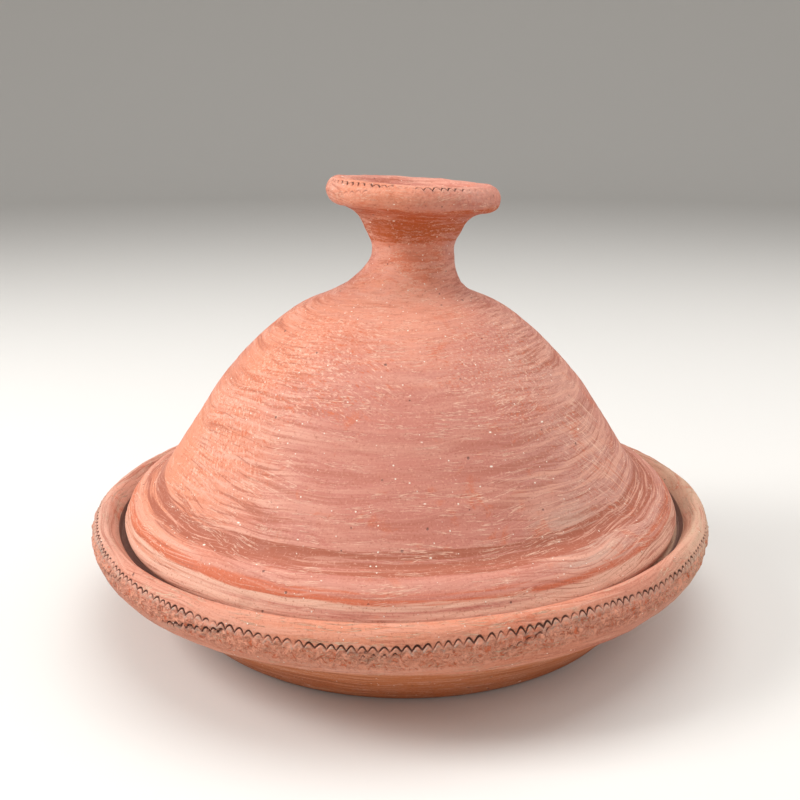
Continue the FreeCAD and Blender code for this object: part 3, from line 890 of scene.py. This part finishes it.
class TAGINE_OT_rim(bpy.types.Operator):
    """Lute on the rim coil and stamp its toothed line"""

    bl_idname = "tagine.rim"
    bl_label = "Lute on the rim"

    def execute(self, context):
        form = context.scene.tagine_form
        outline = Outline("dish_rim_coil", DISH_SEAM, DISH_SEAM_TILT)
        widest = outline.s[np.argmax(outline.r)]
        middle = widest + 3.4 * MM
        teeth = round(FULL_TURN * RIM_RADIUS / form.tooth_pitch)
        fine_columns = DISH_COLUMNS * STAMP_FINENESS

        def rule(s, radius, height):
            over = (s - middle) / MM
            if -2.3 < over < 1.9:
                return 0.3 * MM, fine_columns
            if -9.5 < over < 3.0:
                return 0.5 * MM, fine_columns // 2
            if outline.hidden(s):
                return 4 * MM, DISH_COLUMNS
            return 1.35 * MM, DISH_COLUMNS

        def slide(angle, s):
            over = s - middle
            hold = smooth_step(over, -12 * MM, -3 * MM) * (1 - smooth_step(over, 2.5 * MM, 9.5 * MM))
            return (ring_curve(RIM_LINE, angle) * MM + widest - middle) * hold

        def relief(angle, along, place):
            skin = dish_skin(angle, along, place, form)
            offset = along + outline.seam - widest - ring_curve(RIM_LINE, angle) * MM
            line, pushed = stamped(angle, offset, teeth, RIM_EXTRA_RUNS, form, 71)
            outside = smooth_step(from_axis(place), RIM_RADIUS - 7 * MM, RIM_RADIUS - 5 * MM)
            outside = outside * smooth_step(along, 1 * MM, 3 * MM)
            rough = smooth_step(-offset, 0.5 * MM, 2.5 * MM) * (1 - smooth_step(-offset, 8 * MM, 13 * MM))
            torn = (0.9 * MM * lumps(place, 3.8 * MM, 83) + 0.8 * MM * lumps(place, 1.7 * MM, 89)) * rough
            torn = torn + 0.22 * MM * lumps(place, 3.0 * MM, 97)
            dent = form.stamp_depth * line - 0.3 * MM * pushed
            above_ledge = smooth_step(place[:, 2], 45.2 * MM, 47 * MM)
            under_ledge = smooth_step(43.5 * MM - place[:, 2], 0, MM)
            free = np.maximum(np.clip(above_ledge + under_ledge, 0, 1), outside)
            depth = skin * free + (torn - dent) * outside * form.hand
            # The stamp mark also places the painted shade of the groove, and the torn mark the painted light
            # and shade of the torn clay.
            return depth, {"stamp": line * outside, "residue": pushed * outside, "torn": rough * outside}

        piece = turned_piece("rim_coil", outline, rule, slide, relief, dish_warp(form), STAMP_MARKS)
        look = context.scene.tagine_rim_clay
        clay, colour, height = clay_material("Rim clay", look, RIM_PATCHES)
        colour, height = stamp_colours(clay, colour, height, look)
        # Painted shade on the ledge round the lid's edge, where the lid sits in the dish.
        gap_shade = clay.grade(clay.z, GAP_TOP + 0.8 * MM, GAP_TOP)
        gap_shade = clay.times(gap_shade, clay.grade(clay.radius, LID_RADIUS - MM, LID_RADIUS))
        gap_shade = clay.times(gap_shade, clay.grade(clay.radius, LID_RADIUS + 4 * MM, LID_RADIUS + 3 * MM))
        colour = clay.blend(clay.times(gap_shade, 0.9), colour, look.pit_and_gap_shade)
        adopt(piece, "dish", "dish_rim_coil", clay.finish(colour, height, 0.7 * MM, 0.68, 0.92))
        return {"FINISHED"}


def lid_skin(angle, along, place, settings):
    """Relief that the lid's shell and its knob share, so that it runs on across the seam."""
    wander = 2.5 * MM * strokes(angle, along, 6, 30 * MM, 101)
    swell = 0.5 * MM * lumps(place, 38 * MM, 103)
    ridges = 0.17 * MM * strokes(angle, along + wander, 4, 5.5 * MM, 107)
    rub = 0.085 * MM * strokes(angle, along + wander, 24, 1.8 * MM, 109)
    grain = 0.035 * MM * lumps(place, 2.6 * MM, 113)
    # Smears all round the neck's foot, where the knob was luted on.
    drag = 0.4 * MM * bell(along, 1.0 * MM, 8.0 * MM) * strokes(angle, along, 30, 5.0 * MM, 127)
    # The neck's foot was pressed in all round, and the clay of the cup bulges out over it.
    drag = drag - 2.2 * MM * bell(along, -8.0 * MM, 11.0 * MM) + 1.2 * MM * bell(along, 28 * MM, 5.0 * MM)
    return (swell + ridges + rub + grain + drag) * settings.hand


class TAGINE_OT_lid(bpy.types.Operator):
    """Throw the lid's domed shell"""

    bl_idname = "tagine.lid"
    bl_label = "Throw the lid"

    def execute(self, context):
        form = context.scene.tagine_form
        outline = Outline("lid_shell", CROWN_SEAM, CROWN_SEAM_TILT)

        def rule(s, radius, height):
            if outline.hidden(s):
                return 3 * MM, LID_COLUMNS // 2
            if s < outline.seam:
                if height < LID_SEAT + 0.2 * MM:
                    return 3 * MM, LID_COLUMNS
                if radius < 58 * MM:
                    return 1.0 * MM, LID_COLUMNS // 2
                return 1.3 * MM, LID_COLUMNS
            return 3.5 * MM, LID_COLUMNS // 4

        def relief(angle, along, place):
            height = place[:, 2]
            rising = smooth_step(height, LID_SEAT + 0.5 * MM, LID_SEAT + 4 * MM)
            edge = smooth_step(from_axis(place), LID_RADIUS - 4 * MM, LID_RADIUS) * rising
            nicks = smooth_step(strokes(angle, along, 70, 5 * MM, 131), 0.42, 0.75)
            over_seat = height + 1.0 * MM * strokes(angle, 0 * angle, 5, 1.0, 139) - LID_SEAT
            groove = bell(over_seat, 19.6 * MM, 2.1 * MM)
            brow = bell(over_seat, 11.5 * MM, 3.8 * MM)
            skin = lid_skin(angle, along, place, form) + (0.9 * MM * brow - 1.0 * MM * groove) * form.hand
            skin = skin * rising - 0.45 * MM * nicks * edge
            thrown = 0.35 * MM * strokes(angle, along, 4, 9 * MM, 137)
            thrown = thrown * smooth_step(height, LID_SEAT + 2 * MM, LID_SEAT + 8 * MM)
            thrown = thrown * smooth_step(CROWN_SEAM - height, 0, 6 * MM)
            return np.where(along > 0.1 * MM, thrown * form.hand, skin), {}

        piece = turned_piece("lid", outline, rule, no_slide, relief, lid_warp(form))
        look = context.scene.tagine_lid_clay
        clay, colour, height = clay_material("Lid clay", look, LID_PATCHES, LID_ZONES, LID_HATCHES)
        # Painted shade on the foot of the lid's edge, where it sits on the dish's ledge.
        gap_shade = clay.grade(clay.z, GAP_TOP, GAP_TOP - 1 * MM)
        colour = clay.blend(clay.times(gap_shade, 0.9), colour, look.pit_and_gap_shade)
        adopt(piece, "lid", "lid_shell", clay.finish(colour, height, 0.3 * MM, 0.55, 0.82))
        return {"FINISHED"}


class TAGINE_OT_knob(bpy.types.Operator):
    """Lute on the knob and stamp its lip"""

    bl_idname = "tagine.knob"
    bl_label = "Lute on the knob"

    def execute(self, context):
        form = context.scene.tagine_form
        outline = Outline("lid_knob", CROWN_SEAM, CROWN_SEAM_TILT)
        widest = outline.s[np.argmax(outline.r)]
        teeth = round(FULL_TURN * LIP_RADIUS / form.tooth_pitch)

        def rule(s, radius, height):
            if outline.hidden(s):
                return 3 * MM, LID_COLUMNS // 2
            if s < outline.seam:
                return 2 * MM, LID_COLUMNS // 8 if radius < 12 * MM else LID_COLUMNS // 4
            if abs(s - widest) < 9 * MM:
                return 0.42 * MM, LID_COLUMNS
            if s < widest:
                return 0.75 * MM, LID_COLUMNS // 2
            return 0.9 * MM, LID_COLUMNS // 2 if radius > 8 * MM else LID_COLUMNS // 8

        def relief(angle, along, place):
            radius = from_axis(place)
            offset = along + outline.seam - widest - ring_curve(LIP_LINE, angle) * MM
            line, pushed = stamped(angle, offset, teeth, LIP_EXTRA_RUNS, form, 151)
            lip = smooth_step(radius, LIP_RADIUS - 9 * MM, LIP_RADIUS - 4 * MM)
            lip = lip * smooth_step(place[:, 2], LIP_TOP - 14 * MM, LIP_TOP - 9 * MM)
            pressed = 0.3 + 0.7 * smooth_step(np.cos(angle - math.radians(248)), 0.3, 0.8)
            lumpy = 0.5 * MM * lumps(place, 7 * MM, 157) + 0.25 * MM * lumps(place, 3 * MM, 163)
            dent = (form.stamp_depth * line - 0.25 * MM * pushed) * pressed
            depth = lid_skin(angle, along, place, form) + (lumpy - dent) * lip * form.hand
            depth = np.where(along < -0.1 * MM, 0.0, depth * smooth_step(radius, 1 * MM, 8 * MM))
            # The stamp mark also places the painted shade of the groove, and the torn mark the painted light
            # and shade of the torn clay.
            return depth, {"stamp": line * lip * pressed, "residue": pushed * lip * 0.4, "torn": lip * 0.3}

        piece = turned_piece("knob", outline, rule, no_slide, relief, lid_warp(form), STAMP_MARKS)
        look = context.scene.tagine_lid_clay
        clay, colour, height = clay_material("Knob clay", look, LID_PATCHES, LID_ZONES, LID_HATCHES)
        colour, height = stamp_colours(clay, colour, height, look)
        adopt(piece, "lid", "lid_knob", clay.finish(colour, height, 0.35 * MM, 0.6, 0.88))
        return {"FINISHED"}


class TAGINE_OT_stage(bpy.types.Operator):
    """Set the floor, the light and the camera"""

    bl_idname = "tagine.stage"
    bl_label = "Set the stage"

    def execute(self, context):
        stage = context.scene.tagine_stage
        self.lay_floor(stage)
        self.hang_lights(context.scene, stage)
        camera = bpy.data.objects.new("camera", bpy.data.cameras.new("camera"))
        camera.data.sensor_width = 36.0
        camera.data.lens = stage.lens
        camera.data.clip_start = 0.01
        camera.location = (-1.0 * MM, -stage.camera_distance, stage.camera_height)
        camera.rotation_euler = (math.pi / 2 - stage.camera_tilt, 0.0, 0.0)
        context.scene.collection.objects.link(camera)
        context.scene.camera = camera
        context.scene.view_settings.view_transform = "Standard"
        return {"FINISHED"}

    @staticmethod
    def lay_floor(stage):
        """A wide round floor whose edge sweeps up all round."""
        reach, sweep, steps, sides = 2.6, 1.0, 16, 96
        line = [(reach * part, 0.0) for part in (0.25, 0.5, 0.75)]
        for step in range(steps + 1):
            turn = step / steps * math.pi / 2
            line.append((reach + sweep * math.sin(turn), sweep * (1 - math.cos(turn))))
        turns = [side / sides * FULL_TURN for side in range(sides)]
        places = [(0.0, 0.0, 0.0)]
        places += [(radius * math.cos(turn), radius * math.sin(turn), height)
                   for radius, height in line for turn in turns]
        faces = []
        for side in range(sides):
            here, after = 1 + side, 1 + (side + 1) % sides
            faces.append((0, here, after))
            for ring in range(0, (len(line) - 1) * sides, sides):
                faces.append((ring + here, ring + here + sides, ring + after + sides, ring + after))
        mesh = bpy.data.meshes.new("floor")
        mesh.from_pydata(places, [], faces)
        mesh.shade_smooth()
        floor = bpy.data.objects.new("floor", mesh)
        bpy.context.scene.collection.objects.link(floor)
        material = bpy.data.materials.new("Pale floor")
        material.use_nodes = True
        shader = material.node_tree.nodes["Principled BSDF"]
        shader.inputs["Base Color"].default_value = (*stage.floor, 1.0)
        shader.inputs["Roughness"].default_value = 0.9
        mesh.materials.append(material)
        floor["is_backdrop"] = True

    @staticmethod
    def hang_lights(scene, stage):
        """Big soft lights at the left, above and at the right, and pale light all round."""
        for name, power, size, place in (("key", stage.key, 0.6, (-1.15, -0.25, 0.95)),
                                         ("top", stage.top, 1.2, (0.10, 0.10, 1.50)),
                                         ("front", stage.front, 1.2, (0.15, -1.30, 0.90)),
                                         ("fill", stage.fill, 1.2, (1.20, 0.05, 0.90))):
            light = bpy.data.lights.new(name, "AREA")
            light.energy = power
            light.size = size
            lamp = bpy.data.objects.new(name, light)
            lamp.location = place
            aim = LAMP_AIM - lamp.location
            lamp.rotation_euler = aim.to_track_quat("-Z", "Y").to_euler()
            scene.collection.objects.link(lamp)
        scene.world = bpy.data.worlds.new("sky")
        scene.world.use_nodes = True
        sky = scene.world.node_tree.nodes["Background"]
        sky.inputs["Color"].default_value = (1.0, 0.98, 0.95, 1.0)
        sky.inputs["Strength"].default_value = stage.sky


class TAGINE_PT_panel(bpy.types.Panel):
    """Sidebar panel that lists the pieces"""

    bl_idname = "TAGINE_PT_panel"
    bl_label = "Tagine"
    bl_space_type = "VIEW_3D"
    bl_region_type = "UI"
    bl_category = "Tagine"

    def draw(self, context):
        for operator in OPERATORS:
            self.layout.operator(operator.bl_idname)
        for group in (context.scene.tagine_form, context.scene.tagine_stage):
            for name in group.bl_rna.properties.keys():
                if name not in ("rna_type", "name"):
                    self.layout.prop(group, name)


OPERATORS = (TAGINE_OT_bowl, TAGINE_OT_rim, TAGINE_OT_lid, TAGINE_OT_knob, TAGINE_OT_stage)
SETTINGS = {
    "tagine_bowl_clay": TagineBowlClay,
    "tagine_rim_clay": TagineRimClay,
    "tagine_lid_clay": TagineLidClay,
    "tagine_form": TagineFormSettings,
    "tagine_stage": TagineStageSettings,
}


def register():
    """Register the settings, the operators and the panel."""
    for item in (*SETTINGS.values(), *OPERATORS, TAGINE_PT_panel):
        bpy.utils.register_class(item)
    for name, group in SETTINGS.items():
        setattr(bpy.types.Scene, name, bpy.props.PointerProperty(type=group))


def unregister():
    """Take the settings, the operators and the panel away again."""
    for name in SETTINGS:
        delattr(bpy.types.Scene, name)
    for item in reversed((*SETTINGS.values(), *OPERATORS, TAGINE_PT_panel)):
        bpy.utils.unregister_class(item)


def main():
    """Make every piece and the stage."""
    register()
    bpy.ops.tagine.bowl()
    bpy.ops.tagine.rim()
    bpy.ops.tagine.lid()
    bpy.ops.tagine.knob()
    bpy.ops.tagine.stage()
    boxes = {"cad": DESIGN_BOX, "visual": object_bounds()}
    {name: [list(map(float, corner)) for corner in box] for name, box in boxes.items()}


if __name__ == "__main__":
    main()
